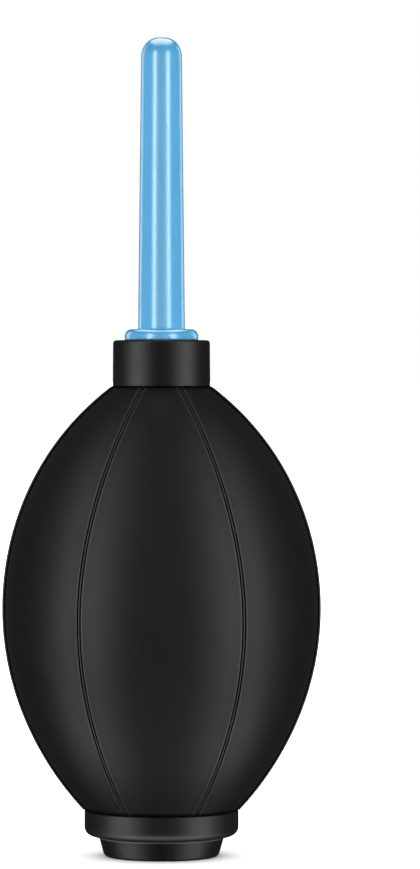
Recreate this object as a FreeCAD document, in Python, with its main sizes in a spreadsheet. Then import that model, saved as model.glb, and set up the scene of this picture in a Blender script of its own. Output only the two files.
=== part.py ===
"""Hand-held dust blower: a rubber bulb with a push-in nozzle and a one-way inlet valve in its foot.

The frame is millimetres, +Z up. The origin is the centre of the foot's underside, and the nozzle points up.
Every piece is turned about the Z axis, so each body is an outline in the XZ plane that is revolved, with
holes, slots and notches cut round it afterwards. Sizes live in the spreadsheet "sizes".
"""

import FreeCAD
import Part
import Sketcher

import math
import os

FULL_TURN = 360
PARTS_FOLDER = "parts"

# Driving dimensions, in millimetres unless the name says otherwise.
SIZES = {
    # Outside shape, from the ground up.
    "foot_height": 3.5,
    "foot_base_radius": 10.45,
    "foot_top_radius": 11.3,
    "foot_round": 0.75,
    "ring_radius": 14.15,
    "ring_height": 4.85,
    "ring_round": 1.8,
    "bulb_base_radius": 14.3,
    "bulb_radius": 29.25,
    "shoulder_radius": 9.05,
    "bulb_length": 77.65,
    "equator_rise": 37.25,
    "collar_radius": 8.95,
    "collar_height": 8.4,
    "collar_round": 0.6,
    "nozzle_flange_radius": 6.75,
    "nozzle_flange_height": 2.0,
    "nozzle_flange_round": 1.3,
    "nozzle_base_radius": 4.3,
    "nozzle_tip_radius": 3.75,
    "nozzle_length": 55.5,
    "nozzle_tip_round": 3.0,
    # Bulb wall, neck tube and base lip.
    "bulb_wall": 2.6,
    "neck_outer_radius": 7.4,
    "neck_inner_radius": 5.2,
    "neck_height": 6.1,
    "neck_root_drop": 0.5,
    "lip_thickness": 2.6,
    "lip_corner_inset": 1.1,
    "seam_depth": 0.35,
    "seam_turn": 1.5,
    "seam_end_gap": 0.4,
    "seam_count": 6,
    # Neck fittings.
    "moving_gap": 0.1,
    "thin_gap": 0.1,
    "collar_lip_height": 1.4,
    "collar_lip_radius": 4.4,
    "bush_bore_radius": 4.0,
    "bush_flange_height": 0.8,
    "bush_barb_radius": 6.0,
    "bush_barb_height": 1.2,
    "bush_barb_drop": 1.3,
    "bush_length": 12.1,
    "spigot_length": 12.6,
    "spigot_chamfer": 0.4,
    "spigot_bore_radius": 1.8,
    "running_clearance": 0.05,
    "outlet_radius": 0.5,
    "outlet_length": 3.0,
    "groove_height": 8.1,
    "groove_width": 1.5,
    "seal_thickness": 1.2,
    "seal_clearance": 0.02,
    # Base fittings.
    "stem_radius": 6.6,
    "stem_foot_gap": 1.4,
    "clamp_flange_radius": 12.2,
    "clamp_flange_height": 1.2,
    "inlet_bore_radius": 5.6,
    "seat_rise": 4.4,
    "seat_plate": 1.2,
    "seat_hole_radius": 3.0,
    "seat_lip_radius": 3.6,
    "seat_lip_height": 0.4,
    "chamber_radius": 4.9,
    "cage_socket_radius": 5.2,
    "disc_radius": 4.4,
    "disc_thickness": 0.9,
    "disc_lift": 1.2,
    "pip_height": 0.5,
    "pip_radius": 0.5,
    "pip_circle_radius": 1.6,
    "cage_plate": 1.0,
    "cage_wall": 0.9,
    "cage_height": 3.5,
    "cage_hole_radius": 0.9,
    "cage_circle_radius": 3.1,
    "screen_thickness": 0.4,
    "screen_hole_radius": 0.35,
    "screen_pitch": 1.25,
    "cap_flange_radius": 6.3,
    "cap_flange_height": 0.5,
    "cap_skirt_wall": 0.7,
    "cap_plate": 1.1,
    "cap_slot_width": 1.0,
    "cap_slot_start": 1.5,
    "cap_slot_end": 4.2,
    "nut_radius": 8.4,
    "nut_height": 2.1,
    "nut_notch_width": 1.6,
    "nut_notch_depth": 1.0,
    "foot_bore_radius": 8.7,
    "tongue_inner_radius": 9.2,
    "tongue_outer_radius": 10.3,
    "tongue_height": 1.8,
}


class Size:
    """A length that knows both its value and the spreadsheet expression that gives it."""

    def __init__(self, value, text):
        self.value = value
        self.text = text

    def __add__(self, other):
        other = as_size(other)
        return Size(self.value + other.value, f"({self.text} + {other.text})")

    def __sub__(self, other):
        other = as_size(other)
        return Size(self.value - other.value, f"({self.text} - {other.text})")

    def __mul__(self, factor):
        return Size(self.value * factor, f"({self.text} * {factor})")


def as_size(number):
    return number if isinstance(number, Size) else Size(number, str(number))


doc = FreeCAD.newDocument("dust_blower")
sheet = doc.addObject("Spreadsheet::Sheet", "sizes")
for row, (alias, number) in enumerate(SIZES.items(), start=1):
    sheet.set(f"A{row}", alias)
    sheet.set(f"B{row}", str(number))
    sheet.setAlias(f"B{row}", alias)
doc.recompute()


def size(alias):
    """The spreadsheet's dimension of that name."""
    return Size(SIZES[alias], f"sizes.{alias}")


ZERO = as_size(0.0)

# Heights above the ground, worked out from the driving dimensions.
ring_bottom = size("foot_height")
ring_top = ring_bottom + size("ring_height")
equator = ring_top + size("equator_rise")
lip_top = ring_top + size("lip_thickness")
shoulder = ring_top + size("bulb_length")
neck_top = shoulder + size("neck_height")
collar_bottom = shoulder + size("moving_gap")
collar_top = collar_bottom + size("collar_height")
collar_lip_bottom = collar_top - size("collar_lip_height")
bush_top = collar_lip_bottom - size("thin_gap")
nozzle_tip = collar_top + size("nozzle_length")
spigot_bottom = collar_top - size("spigot_length")
groove_bottom = collar_top - size("groove_height") - size("groove_width")
stem_bottom = size("stem_foot_gap")
seat_top = size("seat_rise") + size("seat_plate")
disc_bottom = seat_top + size("seat_lip_height")
cage_bottom = disc_bottom + size("disc_thickness") + size("disc_lift") + size("pip_height")
screen_bottom = size("seat_rise") - size("screen_thickness") - size("thin_gap")
cap_bottom = stem_bottom - size("cap_flange_height")


# ---------------------------------------------------------------- sketch and feature helpers


def new_body(label):
    body = doc.addObject("PartDesign::Body", label)
    body.Label = label
    return body


def origin_feature(body, role):
    return next(item for item in body.Origin.OriginFeatures if item.Role == role)


def new_sketch(body, name, plane="XZ_Plane", rise=None):
    """A sketch on one of the body's own planes, lifted off it by rise."""
    sketch = body.newObject("Sketcher::SketchObject", name)
    sketch.AttachmentSupport = (origin_feature(body, plane), [""])
    sketch.MapMode = "FlatFace"
    if rise is not None:
        sketch.setExpression("AttachmentOffset.Base.z", rise.text)
    return sketch


def bind(sketch, index, length):
    """Ties a dimension of the sketch to the spreadsheet."""
    sketch.setExpression(f"Constraints[{index}]", length.text)


def pin_point(sketch, geometry, end, x, y):
    """Fixes a point of the sketch at x, y, both of them sizes."""
    for kind, axis, length in (("DistanceX", -2, x), ("DistanceY", -1, y)):
        if length is ZERO:
            sketch.addConstraint(Sketcher.Constraint("PointOnObject", geometry, end, axis))
        else:
            index = sketch.addConstraint(
                Sketcher.Constraint(kind, -1, 1, geometry, end, length.value)
            )
            bind(sketch, index, length)


def add_side(sketch, start, end, centre_height):
    """One side of an outline. Returns its index and which of its ends is the outline's start."""
    a = FreeCAD.Vector(start[0].value, start[1].value, 0)
    b = FreeCAD.Vector(end[0].value, end[1].value, 0)
    if centre_height is None:
        return sketch.addGeometry(Part.LineSegment(a, b), False), 1
    height = centre_height.value
    across = 2 * (b.x - a.x)
    middle = ((b.x**2 + (b.y - height) ** 2) - (a.x**2 + (a.y - height) ** 2)) / across
    centre = FreeCAD.Vector(middle, height, 0)
    radius = a.distanceToPoint(centre)
    angle_a = math.atan2(a.y - centre.y, a.x - centre.x)
    angle_b = math.atan2(b.y - centre.y, b.x - centre.x)
    forwards = math.sin(angle_b - angle_a) > 0
    first, last = (angle_a, angle_b) if forwards else (angle_b, angle_a)
    circle = Part.Circle(centre, FreeCAD.Vector(0, 0, 1), radius)
    side = sketch.addGeometry(Part.ArcOfCircle(circle, first, last), False)
    index = sketch.addConstraint(Sketcher.Constraint("DistanceY", -1, 1, side, 3, height))
    bind(sketch, index, centre_height)
    return side, 1 if forwards else 2


def outline(body, name, corners):
    """A closed outline whose corners are (radius, height), in order.

    A corner with a third item starts an arc, and that item is the height of the arc's centre.
    """
    sketch = new_sketch(body, name)
    sides = []
    for place, corner in enumerate(corners):
        after = corners[(place + 1) % len(corners)]
        sides.append(add_side(sketch, corner, after, corner[2] if len(corner) > 2 else None))
    for place, (side, start) in enumerate(sides):
        before, before_start = sides[place - 1]
        before_end = 2 if before_start == 1 else 1
        sketch.addConstraint(Sketcher.Constraint("Coincident", before, before_end, side, start))
        pin_point(sketch, side, start, corners[place][0], corners[place][1])
    return sketch


def turn(body, name, corners):
    """Revolves an outline all the way round the Z axis."""
    sketch = outline(body, name + "_outline", corners)
    feature = body.newObject("PartDesign::Revolution", name)
    feature.Profile = sketch
    feature.ReferenceAxis = (sketch, ["V_Axis"])
    feature.Angle = FULL_TURN
    body.Tip = feature
    return feature


def circle(body, name, height, radius, ring_radius):
    """A circle centred on the X axis at ring_radius."""
    sketch = new_sketch(body, name, "XY_Plane", height)
    centre = FreeCAD.Vector(ring_radius.value, 0, 0)
    ring = sketch.addGeometry(Part.Circle(centre, FreeCAD.Vector(0, 0, 1), radius.value), False)
    pin_point(sketch, ring, 3, ring_radius, ZERO)
    index = sketch.addConstraint(Sketcher.Constraint("Radius", ring, radius.value))
    bind(sketch, index, radius)
    return sketch


def rectangle(body, name, height, inner, outer, width):
    """A rectangle along X from inner to outer, with its width centred on the X axis."""
    sketch = new_sketch(body, name, "XY_Plane", height)
    half = width * 0.5
    below = Size(-half.value, f"(-{half.text})")
    corners = [(inner, below), (outer, below), (outer, half), (inner, half)]
    points = [FreeCAD.Vector(x.value, y.value, 0) for x, y in corners]
    for place, point in enumerate(points):
        sketch.addGeometry(Part.LineSegment(point, points[(place + 1) % len(points)]), False)
    for place, (x, y) in enumerate(corners):
        before = (place - 1) % len(corners)
        sketch.addConstraint(Sketcher.Constraint("Coincident", before, 2, place, 1))
        pin_point(sketch, place, 1, x, y)
    return sketch


def cut_and_repeat(body, name, sketch, reach, count):
    """Cuts the sketch down by reach, then repeats the cut round the Z axis."""
    pocket = body.newObject("PartDesign::Pocket", name)
    pocket.Profile = sketch
    pocket.setExpression("Length", reach.text)
    body.Tip = pocket
    return repeat(body, pocket, count)


def repeat(body, feature, count):
    """Copies a feature round the Z axis, count times in all."""
    if count < 2:
        return feature
    pattern = body.newObject("PartDesign::PolarPattern", feature.Name + "_ring")
    pattern.Originals = [feature]
    pattern.Axis = (origin_feature(body, "Z_Axis"), [""])
    pattern.Angle = FULL_TURN
    pattern.Occurrences = count
    body.Tip = pattern
    return pattern


# ---------------------------------------------------------------- nozzle and its seal


def make_nozzle():
    """Tapered tube with a rounded tip, a flange that sits on the collar, and a spigot with a seal groove."""
    body = new_body("nozzle")
    spigot = size("bush_bore_radius") - size("running_clearance")
    seal_outside = size("bush_bore_radius") - size("seal_clearance")
    groove_floor = seal_outside - size("seal_thickness") - size("seal_clearance") * 2
    flange_top = collar_top + size("nozzle_flange_height")
    flange_edge = flange_top - size("nozzle_flange_round")
    tip_edge = nozzle_tip - size("nozzle_tip_round")
    turn(body, "nozzle_turned", [
        (size("spigot_bore_radius"), spigot_bottom),
        (spigot - size("spigot_chamfer"), spigot_bottom),
        (spigot, spigot_bottom + size("spigot_chamfer")),
        (spigot, groove_bottom),
        (groove_floor, groove_bottom),
        (groove_floor, groove_bottom + size("groove_width")),
        (spigot, groove_bottom + size("groove_width")),
        (spigot, collar_top),
        (size("nozzle_flange_radius"), collar_top),
        (size("nozzle_flange_radius"), flange_edge, flange_edge),
        (size("nozzle_flange_radius") - size("nozzle_flange_round"), flange_top),
        (size("nozzle_base_radius"), flange_top),
        (size("nozzle_tip_radius"), tip_edge, tip_edge),
        (size("nozzle_tip_radius") - size("nozzle_tip_round"), nozzle_tip),
        (size("outlet_radius"), nozzle_tip),
        (size("outlet_radius"), nozzle_tip - size("outlet_length")),
        (size("spigot_bore_radius"), flange_top),
    ])
    return body


def make_nozzle_seal():
    """Rubber ring in the spigot's groove."""
    ring = doc.addObject("Part::Torus", "nozzle_seal")
    ring.Label = "nozzle_seal"
    ring_radius = size("bush_bore_radius") - size("seal_clearance") - size("seal_thickness") * 0.5
    ring.setExpression("Radius1", ring_radius.text)
    ring.setExpression("Radius2", (size("seal_thickness") * 0.5).text)
    ring.setExpression("Placement.Base.z", (groove_bottom + size("groove_width") * 0.5).text)
    return ring


# ---------------------------------------------------------------- neck


def make_neck_collar():
    """Cap ring over the bulb's neck, with an inward lip that holds the bush down."""
    body = new_body("neck_collar")
    inside = size("neck_outer_radius") + size("thin_gap")
    edge = collar_top - size("collar_round")
    turn(body, "collar_turned", [
        (inside, collar_bottom),
        (size("collar_radius"), collar_bottom),
        (size("collar_radius"), edge, edge),
        (size("collar_radius") - size("collar_round"), collar_top),
        (size("collar_lip_radius"), collar_top),
        (size("collar_lip_radius"), collar_lip_bottom),
        (inside, collar_lip_bottom),
    ])
    return body


def make_neck_bush():
    """Stiff sleeve in the rubber neck that takes the nozzle's spigot, flanged on top and barbed below."""
    body = new_body("neck_bush")
    outside = size("neck_inner_radius") - size("thin_gap")
    flange_bottom = bush_top - size("bush_flange_height")
    barb_top = shoulder - size("bush_barb_drop")
    barb_bottom = barb_top - size("bush_barb_height")
    turn(body, "bush_turned", [
        (size("bush_bore_radius"), bush_top - size("bush_length")),
        (outside, bush_top - size("bush_length")),
        (outside, barb_bottom),
        (size("bush_barb_radius"), barb_top),
        (outside, barb_top),
        (outside, flange_bottom),
        (size("neck_outer_radius"), flange_bottom),
        (size("neck_outer_radius"), bush_top),
        (size("bush_bore_radius"), bush_top),
    ])
    return body


# ---------------------------------------------------------------- bulb


def make_bulb():
    """Hollow rubber bulb: two arcs that meet at the equator, a neck tube, a base lip and six seams."""
    body = new_body("bulb")
    neck_root = shoulder - size("neck_root_drop")
    inner_base = size("bulb_base_radius") - size("lip_corner_inset")
    lip_radius = size("stem_radius") + size("thin_gap")
    wall = turn(body, "bulb_wall_turned", [
        (lip_radius, ring_top),
        (size("bulb_base_radius"), ring_top, equator),
        (size("bulb_radius"), equator, equator),
        (size("shoulder_radius"), shoulder),
        (size("neck_outer_radius"), shoulder),
        (size("neck_outer_radius"), neck_top),
        (size("neck_inner_radius"), neck_top),
        (size("neck_inner_radius"), neck_root, equator),
        (size("bulb_radius") - size("bulb_wall"), equator, equator),
        (inner_base, lip_top),
        (lip_radius, lip_top),
    ])
    doc.recompute()
    before = wall.Shape.Volume

    # A seam is a thin slice of the outer skin, cut by turning a crescent through a small angle.
    depth = size("seam_depth")
    low = ring_top + size("seam_end_gap")
    high = shoulder - size("seam_end_gap")
    crescent = outline(body, "seam_outline", [
        (size("bulb_base_radius") - depth, low, equator),
        (size("bulb_radius") - depth, equator, equator),
        (size("shoulder_radius") - depth, high),
        (size("bulb_radius") + depth, high),
        (size("bulb_radius") + depth, low),
    ])
    seam = body.newObject("PartDesign::Groove", "seam")
    seam.Profile = crescent
    seam.ReferenceAxis = (crescent, ["V_Axis"])
    seam.setExpression("Angle", "sizes.seam_turn")
    seam.Midplane = True
    body.Tip = seam
    repeat(body, seam, int(SIZES["seam_count"]))
    doc.recompute()
    if body.Shape.Volume >= before:
        raise RuntimeError("the bulb's seams cut nothing")
    return body


# ---------------------------------------------------------------- base


def make_base_ring():
    """Upper step of the base, under the bulb's lip, with a slot below for the foot's tongue."""
    body = new_body("base_ring")
    bore = size("stem_radius") + size("thin_gap")
    edge = ring_bottom + size("ring_round")
    slot_top = ring_bottom + size("tongue_height") + size("thin_gap")
    turn(body, "base_ring_turned", [
        (bore, ring_bottom),
        (size("tongue_inner_radius") - size("thin_gap"), ring_bottom),
        (size("tongue_inner_radius") - size("thin_gap"), slot_top),
        (size("tongue_outer_radius") + size("thin_gap"), slot_top),
        (size("tongue_outer_radius") + size("thin_gap"), ring_bottom),
        (size("ring_radius") - size("ring_round"), ring_bottom, edge),
        (size("ring_radius"), edge),
        (size("ring_radius"), ring_top),
        (bore, ring_top),
    ])
    return body


def make_foot():
    """Tapered rubber foot that the blower stands on, held by a tongue in the base ring."""
    body = new_body("foot")
    edge = size("foot_round")
    turn(body, "foot_turned", [
        (size("foot_bore_radius"), ZERO),
        (size("foot_base_radius") - size("foot_round"), ZERO, edge),
        (size("foot_base_radius"), edge),
        (size("foot_top_radius"), ring_bottom),
        (size("tongue_outer_radius"), ring_bottom),
        (size("tongue_outer_radius"), ring_bottom + size("tongue_height")),
        (size("tongue_inner_radius"), ring_bottom + size("tongue_height")),
        (size("tongue_inner_radius"), ring_bottom),
        (size("foot_bore_radius"), ring_bottom),
    ])
    return body


def make_valve_body():
    """Valve stem: a flange that clamps the bulb's lip, and a bore with the seat and the valve chamber."""
    body = new_body("valve_body")
    flange_top = lip_top + size("clamp_flange_height")
    turn(body, "valve_body_turned", [
        (size("inlet_bore_radius"), stem_bottom),
        (size("stem_radius"), stem_bottom),
        (size("stem_radius"), lip_top),
        (size("clamp_flange_radius"), lip_top),
        (size("clamp_flange_radius"), flange_top),
        (size("cage_socket_radius"), flange_top),
        (size("cage_socket_radius"), cage_bottom),
        (size("chamber_radius"), cage_bottom),
        (size("chamber_radius"), seat_top),
        (size("seat_lip_radius"), seat_top),
        (size("seat_lip_radius"), disc_bottom),
        (size("seat_hole_radius"), disc_bottom),
        (size("seat_hole_radius"), size("seat_rise")),
        (size("inlet_bore_radius"), size("seat_rise")),
    ])
    return body


def make_clamp_nut():
    """Ring nut under the base ring that pulls the valve stem down, with four spanner notches."""
    body = new_body("clamp_nut")
    bottom = ring_bottom - size("nut_height")
    inside = size("stem_radius") + size("thin_gap") * 0.5
    turn(body, "nut_turned", [
        (inside, bottom),
        (size("nut_radius"), bottom),
        (size("nut_radius"), ring_bottom),
        (inside, ring_bottom),
    ])
    notch = rectangle(
        body,
        "notch_outline",
        bottom + size("nut_notch_depth"),
        inside - size("thin_gap"),
        size("nut_radius") + size("thin_gap"),
        size("nut_notch_width"),
    )
    cut_and_repeat(body, "notch", notch, size("nut_notch_depth") + size("thin_gap"), 4)
    return body


def make_valve_disc():
    """Loose silicone disc that rests on the seat and lifts to let air in."""
    body = new_body("valve_disc")
    top = disc_bottom + size("disc_thickness")
    turn(body, "disc_turned", [
        (ZERO, disc_bottom),
        (size("disc_radius"), disc_bottom),
        (size("disc_radius"), top),
        (ZERO, top),
    ])
    return body


def make_valve_cage():
    """Perforated cup above the disc that stops its lift, with four pips that keep the disc off the holes."""
    body = new_body("valve_cage")
    outside = size("cage_socket_radius") - size("thin_gap") * 0.5
    plate_top = cage_bottom + size("cage_plate")
    turn(body, "cage_turned", [
        (ZERO, cage_bottom),
        (outside, cage_bottom),
        (outside, cage_bottom + size("cage_height")),
        (outside - size("cage_wall"), cage_bottom + size("cage_height")),
        (outside - size("cage_wall"), plate_top),
        (ZERO, plate_top),
    ])
    hole = circle(body, "hole_circle", plate_top, size("cage_hole_radius"), size("cage_circle_radius"))
    cut_and_repeat(body, "cage_hole", hole, size("cage_plate"), 6)
    pad = body.newObject("PartDesign::Pad", "pip")
    pad.Profile = circle(body, "pip_circle", cage_bottom, size("pip_radius"), size("pip_circle_radius"))
    pad.setExpression("Length", "sizes.pip_height")
    pad.Reversed = True
    body.Tip = pad
    repeat(body, pad, 4)
    return body


def make_inlet_filter():
    """Dust screen under the valve seat: a thin disc pierced by rings of small holes."""
    body = new_body("inlet_filter")
    top = screen_bottom + size("screen_thickness")
    edge = size("inlet_bore_radius") - size("thin_gap")
    turn(body, "screen_turned", [
        (ZERO, screen_bottom),
        (edge, screen_bottom),
        (edge, top),
        (ZERO, top),
    ])
    for ring in range(4):
        ring_radius = size("screen_pitch") * ring if ring else ZERO
        hole = circle(body, f"hole_circle_{ring}", top, size("screen_hole_radius"), ring_radius)
        cut_and_repeat(body, f"screen_hole_{ring}", hole, size("screen_thickness"), 6 * ring)
    return body


def make_filter_cap():
    """Slotted cap pushed into the bottom of the stem, which holds the screen up."""
    body = new_body("filter_cap")
    outside = size("inlet_bore_radius") - size("thin_gap") * 0.5
    plate_top = cap_bottom + size("cap_plate")
    turn(body, "cap_turned", [
        (ZERO, cap_bottom),
        (size("cap_flange_radius"), cap_bottom),
        (size("cap_flange_radius"), stem_bottom),
        (outside, stem_bottom),
        (outside, screen_bottom),
        (outside - size("cap_skirt_wall"), screen_bottom),
        (outside - size("cap_skirt_wall"), plate_top),
        (ZERO, plate_top),
    ])
    slot = rectangle(
        body, "slot_outline", plate_top,
        size("cap_slot_start"), size("cap_slot_end"), size("cap_slot_width"),
    )
    cut_and_repeat(body, "slot", slot, size("cap_plate"), 6)
    return body


# ---------------------------------------------------------------- build, check and write


def write_parts(pieces):
    """Checks every object of the document and each piece's solid, then writes a STEP file for each piece."""
    for item in doc.Objects:
        if "Invalid" in item.State or "Error" in item.State:
            raise RuntimeError(f"{item.Label} failed: {item.State}")
    os.makedirs(PARTS_FOLDER, exist_ok=True)
    for piece in pieces:
        shape = piece.Shape
        if shape.isNull() or not shape.isValid() or not shape.Solids:
            raise RuntimeError(f"{piece.Label} has no valid solid")
        shape.exportStep(os.path.join(PARTS_FOLDER, piece.Label + ".step"))
        box = shape.optimalBoundingBox(False)
        print(
            f"{piece.Label:14} {len(shape.Solids)} solid, {shape.Volume:9.1f} mm3,"
            f" r {box.XMax:6.2f}, z {box.ZMin:6.2f} to {box.ZMax:6.2f}"
        )


MAKERS = [
    make_nozzle,
    make_nozzle_seal,
    make_neck_collar,
    make_neck_bush,
    make_bulb,
    make_base_ring,
    make_foot,
    make_valve_body,
    make_clamp_nut,
    make_valve_disc,
    make_valve_cage,
    make_inlet_filter,
    make_filter_cap,
]

made = [maker() for maker in MAKERS]
doc.recompute()
write_parts(made)
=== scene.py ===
"""Looks of the dust blower: a black rubber bulb, a blue push-in nozzle, and black collar, ring and foot.

Everything is in metres in the part's own frame: +Z up, the foot on z = 0, the front towards -Y.
Outlines are written in millimetres as (radius, height) and turned about the Z axis.
"""

import math

import bpy
from mathutils import Matrix, Vector


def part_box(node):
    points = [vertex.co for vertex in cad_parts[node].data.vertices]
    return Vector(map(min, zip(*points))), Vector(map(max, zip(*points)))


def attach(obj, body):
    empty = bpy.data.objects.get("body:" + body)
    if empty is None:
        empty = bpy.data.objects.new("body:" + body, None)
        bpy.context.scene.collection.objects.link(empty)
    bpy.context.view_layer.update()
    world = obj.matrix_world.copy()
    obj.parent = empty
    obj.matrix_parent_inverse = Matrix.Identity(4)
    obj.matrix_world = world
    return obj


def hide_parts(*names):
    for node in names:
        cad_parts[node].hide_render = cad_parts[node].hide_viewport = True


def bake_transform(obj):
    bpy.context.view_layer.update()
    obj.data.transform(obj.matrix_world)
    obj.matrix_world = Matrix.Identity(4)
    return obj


MM = 0.001

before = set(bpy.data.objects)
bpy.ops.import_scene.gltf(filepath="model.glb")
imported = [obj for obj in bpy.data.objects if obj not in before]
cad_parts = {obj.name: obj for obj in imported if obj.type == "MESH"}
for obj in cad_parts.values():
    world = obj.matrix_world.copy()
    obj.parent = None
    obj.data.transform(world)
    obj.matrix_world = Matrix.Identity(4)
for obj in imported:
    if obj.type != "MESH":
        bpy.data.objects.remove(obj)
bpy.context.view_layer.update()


# ---------------------------------------------------------------- sizes, in millimetres


def top_of(node):
    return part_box(node)[1].z / MM


def bottom_of(node):
    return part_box(node)[0].z / MM


def radius_of(node):
    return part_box(node)[1].y / MM


RING_TOP = top_of("base_ring")
RING_BOTTOM = bottom_of("base_ring")
RING_RADIUS = radius_of("base_ring")
COLLAR_TOP = top_of("neck_collar")
COLLAR_BOTTOM = bottom_of("neck_collar")
COLLAR_RADIUS = radius_of("neck_collar")
NECK_TOP = top_of("bulb")
NOZZLE_TIP = top_of("nozzle")
SPIGOT_BOTTOM = bottom_of("nozzle")
FLANGE_RADIUS = radius_of("nozzle")
SEAL_MIDDLE = (top_of("nozzle_seal") + bottom_of("nozzle_seal")) / 2

# The bulb's skin. A rib on each side stands proud of it, and reaches the bulb's full radius.
RIB_HEIGHT = 0.6
BULB_RADIUS = radius_of("bulb") - RIB_HEIGHT
EQUATOR = RING_TOP + 36.95
BULB_BASE_RADIUS = 13.5
SHOULDER = COLLAR_BOTTOM
SHOULDER_RADIUS = 8.2
BULB_WALL = 2.6
NECK_OUTER = 7.4
NECK_INNER = 5.2
NECK_ROOT = SHOULDER - 0.5
LIP_RADIUS = 6.7
LIP_TOP = RING_TOP + 2.6
LIP_CORNER_RADIUS = 13.2


# ---------------------------------------------------------------- outlines and meshes


def rounded(corners, steps=7):
    """A closed outline from (radius, height, fillet) corners, with each fillet as an arc.

    A point is added just beyond each fillet's ends, so that flat walls shade flat.
    """
    points = []
    for place, (x, y, fillet) in enumerate(corners):
        before = corners[place - 1]
        after = corners[(place + 1) % len(corners)]
        if fillet == 0:
            points.append((x, y))
            continue
        to_before = math.atan2(before[1] - y, before[0] - x)
        to_after = math.atan2(after[1] - y, after[0] - x)
        opening = (to_after - to_before + math.pi) % (2 * math.pi) - math.pi
        reach = fillet / abs(math.tan(opening / 2))
        middle = to_before + opening / 2
        depth = fillet / abs(math.sin(opening / 2))
        centre = (x + depth * math.cos(middle), y + depth * math.sin(middle))
        start = (x + reach * math.cos(to_before), y + reach * math.sin(to_before))
        first = math.atan2(start[1] - centre[1], start[0] - centre[0])
        sweep = -math.copysign(math.pi - abs(opening), opening)
        support = 0.12 * fillet
        points.append(
            (start[0] + support * math.cos(to_before), start[1] + support * math.sin(to_before))
        )
        for step in range(steps + 1):
            angle = first + sweep * step / steps
            points.append((centre[0] + fillet * math.cos(angle), centre[1] + fillet * math.sin(angle)))
        points.append((
            x + (reach + support) * math.cos(to_after),
            y + (reach + support) * math.sin(to_after),
        ))
    return points


def arc_from_equator(radius, height, at_equator, steps, slack=0.0):
    """Points from the equator to (radius, height) on an arc whose centre lies at the equator's height.

    With slack, the arc is pulled in by that much about two thirds of the way along.
    """
    rise = height - EQUATOR
    reach = at_equator - radius
    arc_radius = (rise * rise + reach * reach) / (2 * reach)
    centre = at_equator - arc_radius
    end = math.asin(rise / arc_radius)
    points = []
    for k in range(steps + 1):
        angle = end * k / steps
        pulled = slack * math.sin(math.pi * (math.sin(angle) / math.sin(end)) ** 2)
        points.append((
            centre + arc_radius * math.cos(angle) - pulled,
            EQUATOR + arc_radius * math.sin(angle),
        ))
    return points


def outward(points):
    """The unit normal at each point of a closed outline that runs anticlockwise in (radius, height)."""
    normals = []
    for place in range(len(points)):
        before = points[place - 1]
        after = points[(place + 1) % len(points)]
        along = (after[0] - before[0], after[1] - before[1])
        length = math.hypot(*along) or 1.0
        normals.append((along[1] / length, -along[0] / length))
    return normals


def new_piece(name, vertices, faces):
    mesh = bpy.data.meshes.new(name)
    mesh.from_pydata([tuple(c * MM for c in v) for v in vertices], [], faces)
    mesh.shade_smooth()
    mesh.update()
    piece = bpy.data.objects.new(name, mesh)
    bpy.context.scene.collection.objects.link(piece)
    return piece


def grid_faces(rows, columns):
    """Quads of a closed outline turned all the way round, wound so that their normals point outwards."""
    faces = []
    for row in range(rows):
        for column in range(columns):
            here = row * columns + column
            beside = row * columns + (column + 1) % columns
            above = ((row + 1) % rows) * columns + column
            above_beside = ((row + 1) % rows) * columns + (column + 1) % columns
            faces.append((here, beside, above_beside, above))
    return faces


def lathe(name, outline, columns=128):
    """Turns a closed outline, anticlockwise in (radius, height), about the Z axis."""
    vertices = []
    for radius, height in outline:
        for column in range(columns):
            angle = 2 * math.pi * column / columns
            vertices.append((radius * math.cos(angle), radius * math.sin(angle), height))
    return new_piece(name, vertices, grid_faces(len(outline), columns))


# ---------------------------------------------------------------- materials


def shader(name, colour, roughness, **sockets):
    """A new material with its shader's plain values set. Returns its node tree and the shader."""
    material = bpy.data.materials.new(name)
    material.use_nodes = True
    tree = material.node_tree
    bsdf = tree.nodes["Principled BSDF"]
    bsdf.inputs["Base Color"].default_value = (*colour, 1)
    bsdf.inputs["Roughness"].default_value = roughness
    for socket, value in sockets.items():
        bsdf.inputs[socket.replace("_", " ")].default_value = value
    return material, tree, bsdf


# Noise stays mostly between these values.
NOISE_LOW = 0.3
NOISE_HIGH = 0.7


def noise(tree, scale, detail=3.0):
    """Noise over the piece's own coordinates, in metres."""
    place = tree.nodes.new("ShaderNodeTexCoord")
    texture = tree.nodes.new("ShaderNodeTexNoise")
    texture.inputs["Scale"].default_value = scale
    texture.inputs["Detail"].default_value = detail
    tree.links.new(place.outputs["Object"], texture.inputs["Vector"])
    return texture.outputs["Fac"]


def spread(tree, value, low, high):
    """Maps a noise value onto the range from low to high."""
    node = tree.nodes.new("ShaderNodeMapRange")
    node.inputs["From Min"].default_value = NOISE_LOW
    node.inputs["From Max"].default_value = NOISE_HIGH
    node.inputs["To Min"].default_value = low
    node.inputs["To Max"].default_value = high
    tree.links.new(value, node.inputs["Value"])
    return node.outputs["Result"]


def ramp(tree, value, dark, light):
    """Mixes two colours by a noise value."""
    node = tree.nodes.new("ShaderNodeValToRGB")
    node.color_ramp.elements[0].position = NOISE_LOW
    node.color_ramp.elements[0].color = (*dark, 1)
    node.color_ramp.elements[1].position = NOISE_HIGH
    node.color_ramp.elements[1].color = (*light, 1)
    tree.links.new(value, node.inputs["Fac"])
    return node.outputs["Color"]


def bump(tree, bsdf, height, depth):
    """Raises the surface by a height value, depth metres at most."""
    node = tree.nodes.new("ShaderNodeBump")
    node.inputs["Strength"].default_value = 1.0
    node.inputs["Distance"].default_value = depth
    tree.links.new(height, node.inputs["Height"])
    tree.links.new(node.outputs["Normal"], bsdf.inputs["Normal"])


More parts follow.
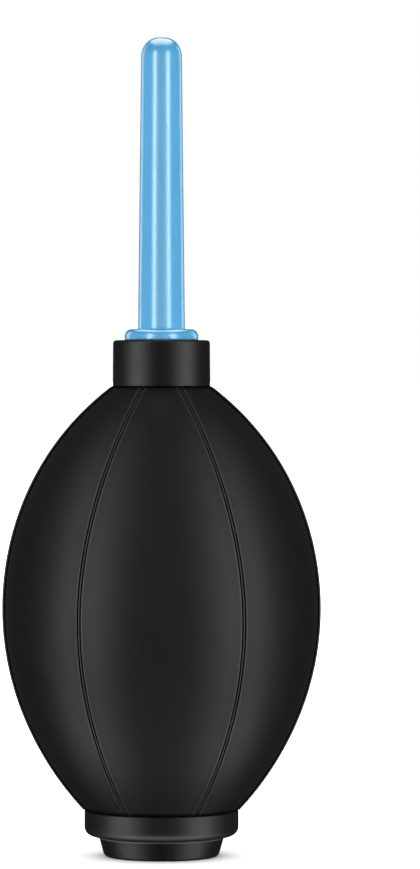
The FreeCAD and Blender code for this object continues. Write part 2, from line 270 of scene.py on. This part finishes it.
def moulded(
    name, colour, roughness, tone=0.12, patch=90, grain=6000, grain_depth=0.000006, **sockets,
):
    """A moulded material: faint patches of tone, a fine grain, and gloss that varies a little."""
    material, tree, bsdf = shader(name, colour, roughness, **sockets)
    patches = noise(tree, patch)
    dark = tuple(c * (1 - tone) for c in colour)
    light = tuple(c * (1 + tone) for c in colour)
    tree.links.new(ramp(tree, patches, dark, light), bsdf.inputs["Base Color"])
    gloss = noise(tree, 3 * patch)
    varied = spread(tree, gloss, roughness * 0.94, roughness * 1.06)
    tree.links.new(varied, bsdf.inputs["Roughness"])
    bump(tree, bsdf, noise(tree, grain, 2.0), grain_depth)
    return material


def mixed(tree, kind, amount, socket, value):
    """Takes a shader socket's input towards a value, by an amount from 0 to 1."""
    node = tree.nodes.new("ShaderNodeMix")
    node.data_type = kind
    # The mix node has sockets for every kind, so the ones of this kind are picked by their place.
    factor, before, after, result = {"FLOAT": (0, 2, 3, 0), "RGBA": (0, 6, 7, 2)}[kind]
    tree.links.new(amount, node.inputs[factor])
    if socket.links:
        tree.links.new(socket.links[0].from_socket, node.inputs[before])
    else:
        node.inputs[before].default_value = socket.default_value
    node.inputs[after].default_value = value
    tree.links.new(node.outputs[result], socket)


def paint_shade_and_highlight(material, levels):
    """Paints shade and highlights into a material by its mesh's attribute: below 0 a painted shade in a
    groove, above 0 a painted highlight on an edge.

    Each level is the attribute's value at full effect, the grey shade there, and the roughness.
    A groove's reflection is also tinted to black, which paints its shade darker still.
    """
    tree = material.node_tree
    bsdf = tree.nodes["Principled BSDF"]
    painted_light = tree.nodes.new("ShaderNodeAttribute")
    painted_light.attribute_name = "painted_light"
    for full, shade, roughness in levels:
        reach = tree.nodes.new("ShaderNodeMapRange")
        reach.inputs["From Max"].default_value = full
        tree.links.new(painted_light.outputs["Fac"], reach.inputs["Value"])
        amount = reach.outputs["Result"]
        mixed(tree, "RGBA", amount, bsdf.inputs["Base Color"], (shade, shade, shade, 1))
        mixed(tree, "FLOAT", amount, bsdf.inputs["Roughness"], roughness)
        if full < 0:
            mixed(tree, "RGBA", amount, bsdf.inputs["Specular Tint"], (0, 0, 0, 1))
    return material


# Where the painted light takes full effect: painted shade in grooves, painted highlight on edges.
GROOVE_PAINTED_SHADE = -0.20
EDGE_PAINTED_HIGHLIGHT = 0.08

# The bulb's grooves are painted almost black as shade, and its seam lips are painted lighter and glossier
# as a highlight.
RUBBER = paint_shade_and_highlight(
    moulded("bulb_rubber", (0.0095, 0.0095, 0.0097), 0.46, tone=0.08, patch=240),
    [(GROOVE_PAINTED_SHADE, 0.001, 0.8), (EDGE_PAINTED_HIGHLIGHT, 0.05, 0.32)],
)
# The foot's upper edge is painted light grey as a highlight.
FOOT_RUBBER = paint_shade_and_highlight(
    moulded("foot_rubber", (0.0055, 0.0055, 0.0057), 0.46, Specular_IOR_Level=0.65),
    [(EDGE_PAINTED_HIGHLIGHT, 0.30, 0.35)],
)
BLACK_PLASTIC = moulded("black_plastic", (0.0055, 0.0055, 0.0057), 0.46, Specular_IOR_Level=0.70)
BLUE_PLASTIC = moulded(
    "nozzle_plastic", (0.062, 0.42, 0.77), 0.30, tone=0.02, grain=1500, grain_depth=0.000001,
    Specular_IOR_Level=0.9,
)
VALVE_PLASTIC = moulded("valve_plastic", (0.62, 0.62, 0.58), 0.38, tone=0.04)
SILICONE = moulded("silicone", (0.50, 0.10, 0.035), 0.5, tone=0.06)
STEEL = moulded("screen_steel", (0.55, 0.55, 0.56), 0.32, tone=0.05, Metallic=1.0)


def finish_piece(piece, material, body=None):
    """Gives a piece its material and slot, and the body that it rides on unless it blends two."""
    piece.data.materials.append(material)
    if body:
        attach(piece, body)
    return piece


# ---------------------------------------------------------------- bulb


def section_at(section, distance):
    """A section's height and painted light at a distance, on smooth curves through its points."""
    for (x0, height0, painted_light0), (x1, height1, painted_light1) in zip(section, section[1:]):
        if distance <= x1:
            share = (distance - x0) / (x1 - x0)
            share = share * share * (3 - 2 * share)
            return height0 + (height1 - height0) * share, painted_light0 + (painted_light1 - painted_light0) * share
    return 0.0, 0.0


# Half of a seam's section: (distance from the seam's middle, height above the skin, painted light), in
# millimetres. Painted light below 0 is painted shade, above 0 a painted highlight.
# A seam is a narrow bead between two grooves with raised lips. A rib is a thin fin between grooves. The
# grooves and the rib's lower flank are painted dark as shade; the bead, the lips and the rib's shoulders
# are painted light as a highlight.
SEAM_SECTION = [
    (0, 0.06, 0.09), (0.13, 0.03, 0.04), (0.19, -0.34, -0.34), (0.34, -0.34, -0.34),
    (0.43, 0.07, 0.09), (0.64, 0.05, 0.06), (1.0, 0, 0),
]
RIB_SECTION = [
    (0, RIB_HEIGHT, 0), (0.19, RIB_HEIGHT - 0.03, 0.03), (0.28, 0.40, 0.09), (0.31, 0.24, -0.2),
    (0.43, -0.2, -0.34), (0.58, -0.2, -0.2), (0.68, 0.02, 0.08), (0.85, 0.01, 0.04), (1.0, 0, 0),
]
# The distances from a seam's middle where the bulb has a column of points.
SECTION_SAMPLES = [
    0, 0.07, 0.13, 0.16, 0.19, 0.24, 0.28, 0.31, 0.34, 0.39, 0.43, 0.50, 0.58, 0.64, 0.68, 0.76, 0.85, 1.0,
]
BETWEEN_SEAMS = 20
# Seams run out over this height at the ring and at the collar.
SEAM_FADE = 0.05

# Each seam's place round the bulb in degrees, which way it bows, and its section. The ribs are straight.
SEAMS = [
    (0, 0, RIB_SECTION),
    (60, -1, SEAM_SECTION),
    (120, 1, SEAM_SECTION),
    (180, 0, RIB_SECTION),
    (240, -1, SEAM_SECTION),
    (300, 1, SEAM_SECTION),
]


# A seam stands furthest out at SEAM_WIDEST, and from there it bends back in by these many degrees.
SEAM_WIDEST = EQUATOR - 5.3
SEAM_OUT = 1.0
BEND_ABOVE = 8.0
BEND_BELOW = 7.0


def seam_angle(place, bow, height):
    """A seam's angle at a height, in radians. It bows outwards, most of all a little below the equator."""
    along = math.pi / 2 * (height - SEAM_WIDEST) / (SHOULDER - SEAM_WIDEST)
    bend = BEND_ABOVE if height > SEAM_WIDEST else BEND_BELOW
    return math.radians(place + bow * (SEAM_OUT - bend * (1 - math.cos(along))))


def bulb_outline():
    """The bulb's closed outline, and how much of the seam's relief each point takes."""
    lower = arc_from_equator(BULB_BASE_RADIUS, RING_TOP, BULB_RADIUS, 64, slack=0.12)
    upper = arc_from_equator(SHOULDER_RADIUS, SHOULDER, BULB_RADIUS, 72, slack=-0.15)
    skin = list(reversed(lower)) + upper[1:]
    # The skin's two edges turn in, which leaves a fine dark line against the ring and the collar.
    edge = 0.1
    skin.insert(0, (skin[0][0] - edge, RING_TOP))
    skin[1] = (skin[1][0], RING_TOP + edge)
    skin[-1] = (skin[-1][0], SHOULDER - edge)
    skin.append((skin[-1][0] - edge, SHOULDER))
    relief = []
    for radius, height in skin:
        from_end = min(height - RING_TOP, SHOULDER - height)
        relief.append(min(1.0, max(0.0, from_end / SEAM_FADE)))
    # The neck stands inside the collar, with rounded edges.
    neck = [
        (NECK_OUTER + 0.3, SHOULDER),
        (NECK_OUTER + 0.08, SHOULDER + 0.08),
        (NECK_OUTER, SHOULDER + 0.3),
        (NECK_OUTER, NECK_TOP - 0.3),
        (NECK_OUTER - 0.1, NECK_TOP - 0.08),
        (NECK_OUTER - 0.3, NECK_TOP),
        (NECK_INNER + 0.3, NECK_TOP),
        (NECK_INNER + 0.1, NECK_TOP - 0.08),
        (NECK_INNER, NECK_TOP - 0.3),
    ]
    inner_radius = radius_of("bulb") - BULB_WALL
    inner_upper = arc_from_equator(NECK_INNER, NECK_ROOT, inner_radius, 32)
    inner_lower = arc_from_equator(LIP_CORNER_RADIUS, LIP_TOP, inner_radius, 28)
    inside = list(reversed(inner_upper)) + inner_lower[1:]
    lip = [(LIP_RADIUS, LIP_TOP), (LIP_RADIUS, RING_TOP)]
    outline = skin + neck + inside + lip
    return outline, relief + [0.0] * (len(outline) - len(relief))


def seam_columns(radius, height):
    """The columns of one row: each one's angle, and the section and distance it stands at, if any."""
    columns = []
    for number, (place, bow, section) in enumerate(SEAMS):
        next_place, next_bow, next_section = SEAMS[(number + 1) % len(SEAMS)]
        here = seam_angle(place, bow, height)
        there = seam_angle(next_place, next_bow, height) + (2 * math.pi if next_place == 0 else 0)
        reach = SECTION_SAMPLES[-1] / radius
        columns += [(here + d / radius, section, d) for d in SECTION_SAMPLES]
        for k in range(1, BETWEEN_SEAMS):
            columns.append((here + reach + (there - here - 2 * reach) * k / BETWEEN_SEAMS, None, 0))
        columns += [(there - d / radius, next_section, d) for d in reversed(SECTION_SAMPLES[1:])]
    return columns


def make_bulb():
    """The bulb's shell. Columns run beside each seam at fixed distances, so the seams keep their width."""
    outline, relief = bulb_outline()
    normals = outward(outline)
    vertices = []
    painted_light_values = []
    for (radius, height), (normal_out, normal_up), weight in zip(outline, normals, relief):
        for angle, section, distance in seam_columns(radius, height):
            rise, painted_light = section_at(section, distance) if section else (0.0, 0.0)
            rise *= weight
            out = radius + normal_out * rise
            up = height
            if weight:
                up = min(max(height + normal_up * rise, RING_TOP), SHOULDER)
            vertices.append((out * math.cos(angle), out * math.sin(angle), up))
            painted_light_values.append(painted_light * weight)
    columns = len(vertices) // len(outline)
    bulb = new_piece("rubber_bulb", vertices, grid_faces(len(outline), columns))
    # The attribute carries each point's painted shade in the grooves and painted highlight on the bead,
    # lips and rib shoulders.
    bulb.data.attributes.new("painted_light", "FLOAT", "POINT").data.foreach_set("value", painted_light_values)
    finish_piece(bulb, RUBBER)
    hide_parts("bulb")
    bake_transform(bulb)
    return bulb


# ---------------------------------------------------------------- turned pieces


def make_nozzle():
    bore = 1.8
    outlet = 0.5
    spigot = 3.95
    groove_floor = 2.74
    half_groove = 0.75
    flange_top = COLLAR_TOP + 2.0
    tip_radius = 3.76
    dome_height = 3.6
    outlet_edge = 0.12
    dome_flat = outlet + outlet_edge
    dome_steps = 18
    dome = []
    for k in range(dome_steps + 1):
        angle = math.pi / 2 * k / dome_steps
        dome.append((
            dome_flat + (tip_radius - dome_flat) * math.cos(angle),
            NOZZLE_TIP - dome_height * (1 - math.sin(angle)),
            0,
        ))
    outline = rounded([
        (bore, SPIGOT_BOTTOM, 0.15),
        (spigot, SPIGOT_BOTTOM, 0.4),
        (spigot, SEAL_MIDDLE - half_groove, 0.08),
        (groove_floor, SEAL_MIDDLE - half_groove, 0.1),
        (groove_floor, SEAL_MIDDLE + half_groove, 0.1),
        (spigot, SEAL_MIDDLE + half_groove, 0.08),
        (spigot, COLLAR_TOP, 0.1),
        (FLANGE_RADIUS, COLLAR_TOP, 0.25),
        (FLANGE_RADIUS, flange_top, 1.25),
        (4.3, flange_top, 0.22),
        *dome,
        (outlet, NOZZLE_TIP - outlet_edge, 0),
        (outlet, NOZZLE_TIP - 3.0, 0.1),
        (bore, flange_top, 0.2),
    ], steps=9)
    nozzle = lathe("blue_nozzle", outline, 96)
    finish_piece(nozzle, BLUE_PLASTIC, "nozzle")
    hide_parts("nozzle")
    return nozzle


def make_collar():
    lip = 4.4
    lip_bottom = COLLAR_TOP - 1.4
    inside = NECK_OUTER + 0.1
    draft = 0.06
    outline = rounded([
        (inside, COLLAR_BOTTOM, 0.15),
        (COLLAR_RADIUS, COLLAR_BOTTOM, 0.06),
        (COLLAR_RADIUS - draft, COLLAR_TOP, 0.6),
        (lip, COLLAR_TOP, 0.15),
        (lip, lip_bottom, 0.1),
        (inside, lip_bottom, 0.1),
    ])
    collar = lathe("collar", outline)
    finish_piece(collar, BLACK_PLASTIC, "neck")
    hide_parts("neck_collar")
    return collar


def make_ring():
    bore = 6.7
    slot_inner = 9.1
    slot_outer = 10.4
    slot_top = RING_BOTTOM + 1.9
    rim_bottom = RING_BOTTOM + 0.22
    outline = rounded([
        (bore, RING_BOTTOM, 0.15),
        (slot_inner, RING_BOTTOM, 0.1),
        (slot_inner, slot_top, 0.1),
        (slot_outer, slot_top, 0.1),
        (slot_outer, rim_bottom, 0.1),
        (RING_RADIUS, rim_bottom, 1.7),
        (RING_RADIUS, RING_TOP, 0.22),
        (bore, RING_TOP, 0.1),
    ])
    ring = lathe("ring", outline)
    finish_piece(ring, BLACK_PLASTIC, "base")
    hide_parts("base_ring")
    return ring


def make_foot():
    bore = 8.7
    tongue_inner = 9.2
    tongue_outer = 10.3
    tongue_top = RING_BOTTOM + 1.8
    step_top = RING_BOTTOM + 0.16
    outline = rounded([
        (bore, 0, 0.2),
        (10.46, 0, 0.8),
        (11.54, step_top, 0.3),
        (tongue_outer, step_top, 0.1),
        (tongue_outer, tongue_top, 0.15),
        (tongue_inner, tongue_top, 0.15),
        (tongue_inner, RING_BOTTOM, 0.1),
        (bore, RING_BOTTOM, 0.1),
    ])
    columns = 128
    foot = lathe("foot_step", outline, columns)
    # The step's upper outer edge is painted bright as a highlight.
    bright_from = 10.9
    bright_height = 0.36
    painted_light_values = []
    for radius, height in outline:
        bright = radius > bright_from and height > step_top - bright_height
        painted_light_values += [EDGE_PAINTED_HIGHLIGHT if bright else 0.0] * columns
    foot.data.attributes.new("painted_light", "FLOAT", "POINT").data.foreach_set("value", painted_light_values)
    finish_piece(foot, FOOT_RUBBER, "base")
    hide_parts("foot")
    return foot


bulb = make_bulb()
nozzle = make_nozzle()
collar = make_collar()
ring = make_ring()
foot = make_foot()

INNER_MATERIALS = {
    "nozzle_seal": SILICONE,
    "neck_bush": VALVE_PLASTIC,
    "valve_body": VALVE_PLASTIC,
    "clamp_nut": BLACK_PLASTIC,
    "valve_disc": SILICONE,
    "valve_cage": VALVE_PLASTIC,
    "inlet_filter": STEEL,
    "filter_cap": BLACK_PLASTIC,
}
for node, material in INNER_MATERIALS.items():
    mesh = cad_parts[node].data
    mesh.materials.clear()
    mesh.materials.append(material)


# ---------------------------------------------------------------- floor, lights, camera


def make_floor():
    mesh = bpy.data.meshes.new("floor")
    half = 200.0
    corners = [(-half, -half, 0), (half, -half, 0), (half, half, 0), (-half, half, 0)]
    mesh.from_pydata(corners, [], [(0, 1, 2, 3)])
    floor = bpy.data.objects.new("floor", mesh)
    bpy.context.scene.collection.objects.link(floor)
    material, _, _ = shader("floor_paper", (0.93, 0.93, 0.93), 0.9)
    mesh.materials.append(material)
    # The floor gives no glare or glow to the object, as if it stood on black card out of view.
    floor.visible_glossy = False
    floor.visible_diffuse = False
    return floor


def lit_only(light, receivers):
    """The light reaches only these objects."""
    group = bpy.data.collections.new(light.name + "_receivers")
    for receiver in receivers:
        group.objects.link(receiver)
    light.light_linking.receiver_collection = group


def panel(name, towards, across, distance, width, length, radiance, receivers, gives="both"):
    """A rectangular light that faces the middle of the blower.

    It stands in the direction towards, with its width along the direction across. It gives a
    reflection, an even "glow" with no reflection, or both.
    """
    facing = Vector(towards).normalized()
    sideways = (Vector(across) - facing * facing.dot(Vector(across))).normalized()
    data = bpy.data.lights.new(name, "AREA")
    data.shape = "RECTANGLE"
    data.size = width
    data.size_y = length
    data.energy = radiance * math.pi * width * length
    light = bpy.data.objects.new(name, data)
    turned = Matrix((sideways, facing.cross(sideways), facing)).transposed()
    light.matrix_world = Matrix.Translation(facing * distance + AIM) @ turned.to_4x4()
    light.visible_diffuse = gives != "reflection"
    light.visible_glossy = gives != "glow"
    bpy.context.scene.collection.objects.link(light)
    lit_only(light, receivers)


def softbox(name, azimuth, elevation, distance, width, height, radiance, receivers, gives="both"):
    """An upright panel. Azimuth 0 is the camera's side, and positive turns to +X."""
    turn = math.radians(azimuth)
    lift = math.radians(elevation)
    towards = (math.cos(lift) * math.sin(turn), -math.cos(lift) * math.cos(turn), math.sin(lift))
    across = (math.cos(turn), math.sin(turn), 0)
    panel(name, towards, across, distance, width, height, radiance, receivers, gives)


def light_arch(name, band, bottom, top, distance, width, levels, receivers, tuck=0):
    """An arch of panels that the surface mirrors as one upright band, band degrees round from the front.

    The band stays at that angle where the surface leans by bottom to top degrees, so it follows the
    bulb's curve from the ring up to the collar, and overhead it moves in by up to tuck degrees.
    There is a panel for each radiance in levels, from underfoot to overhead.
    """
    step = math.radians(2 * (top - bottom) / len(levels))
    for place, radiance in enumerate(levels):
        lean = math.radians(2 * bottom) + step * (place + 0.5)
        turn = math.radians(band - math.copysign(tuck, band) * max(0.0, math.sin(lean)))
        out = Vector((math.sin(turn), -math.cos(turn), 0))
        aside = Vector((math.cos(turn), math.sin(turn), 0))
        along = out * math.cos(lean) + Vector((0, 0, math.sin(lean)))
        towards = along * math.cos(turn) + aside * math.sin(turn)
        length = 2 * distance * math.cos(turn) * math.tan(step / 2)
        panel(name, towards, aside, distance, width, length, radiance, receivers)


def make_floor_sun(floor):
    """Even light over the whole floor, soft enough that the foot leaves only a faint shadow."""
    data = bpy.data.lights.new("floor_sun", "SUN")
    data.angle = math.radians(120)
    data.energy = 8.0
    sun = bpy.data.objects.new("floor_sun", data)
    bpy.context.scene.collection.objects.link(sun)
    lit_only(sun, [floor])


def make_world():
    """White to the camera, and dim to everything else, so that black rubber stays black."""
    world = bpy.data.worlds.new("studio")
    world.use_nodes = True
    tree = world.node_tree
    tree.nodes.clear()
    path = tree.nodes.new("ShaderNodeLightPath")
    dim = tree.nodes.new("ShaderNodeBackground")
    dim.inputs["Color"].default_value = (0.05, 0.05, 0.05, 1)
    white = tree.nodes.new("ShaderNodeBackground")
    white.inputs["Color"].default_value = (1, 1, 1, 1)
    mix = tree.nodes.new("ShaderNodeMixShader")
    out = tree.nodes.new("ShaderNodeOutputWorld")
    tree.links.new(path.outputs["Is Camera Ray"], mix.inputs["Fac"])
    tree.links.new(dim.outputs["Background"], mix.inputs[1])
    tree.links.new(white.outputs["Background"], mix.inputs[2])
    tree.links.new(mix.outputs["Shader"], out.inputs["Surface"])
    bpy.context.scene.world = world


def make_camera():
    """A level camera in front, shifted so that the blower stands left of the middle."""
    distance = 0.8
    height = 0.0872
    data = bpy.data.cameras.new("camera")
    data.lens = 180.7
    data.shift_x = 0.0558
    data.shift_y = -0.0627
    camera = bpy.data.objects.new("camera", data)
    camera.location = (0, -distance, height)
    camera.rotation_euler = (math.radians(90), 0, 0)
    bpy.context.scene.collection.objects.link(camera)
    bpy.context.scene.camera = camera


INNER_PIECES = [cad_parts[node] for node in INNER_MATERIALS]
BLACK_PIECES = [bulb, collar, ring, foot] + INNER_PIECES
BLUE_PIECES = [nozzle]

# The panels stand round this point and face it. It is near the blower's middle.
AIM = Vector((0, 0, 0.06))

# Radiances of the arches' panels, from underfoot to overhead.
SIDE_LEVELS = (1.9, 1.15, 1.8, 2.15, 1.8, 1.25, 0.65)
FRONT_LEVELS = (0.36, 0.19, 0.20, 0.11, 0.04)

floor = make_floor()
make_world()
make_camera()
make_floor_sun(floor)
for side in (-1, 1):
    light_arch("side_arch", side * 29, -36, 40, 0.9, 0.62, SIDE_LEVELS, BLACK_PIECES, tuck=3)
    softbox("nozzle_band", side * 37, 0, 0.9, 0.22, 1.2, 12.0, BLUE_PIECES, "reflection")
    softbox("nozzle_rim", side * 131, 0, 0.9, 0.26, 1.2, 3.6, BLUE_PIECES, "reflection")
    softbox("low_fill", side * 45, -60, 0.8, 0.8, 0.6, 1.2, [ring])
light_arch("front_arch", 0, -40, 38, 1.2, 0.7, FRONT_LEVELS, [bulb])
softbox("nozzle_top", 180, 78, 0.9, 1.0, 1.0, 6.5, BLUE_PIECES, "reflection")
for azimuth in (0, 90, 180, 270):
    softbox("nozzle_glow", azimuth, 0, 1.0, 0.9, 0.9, 3.9, BLUE_PIECES, "glow")
softbox("back_glow", 180, 0, 1.0, 0.8, 0.8, 5.0, BLACK_PIECES, "glow")

bpy.context.scene.view_settings.view_transform = "Standard"
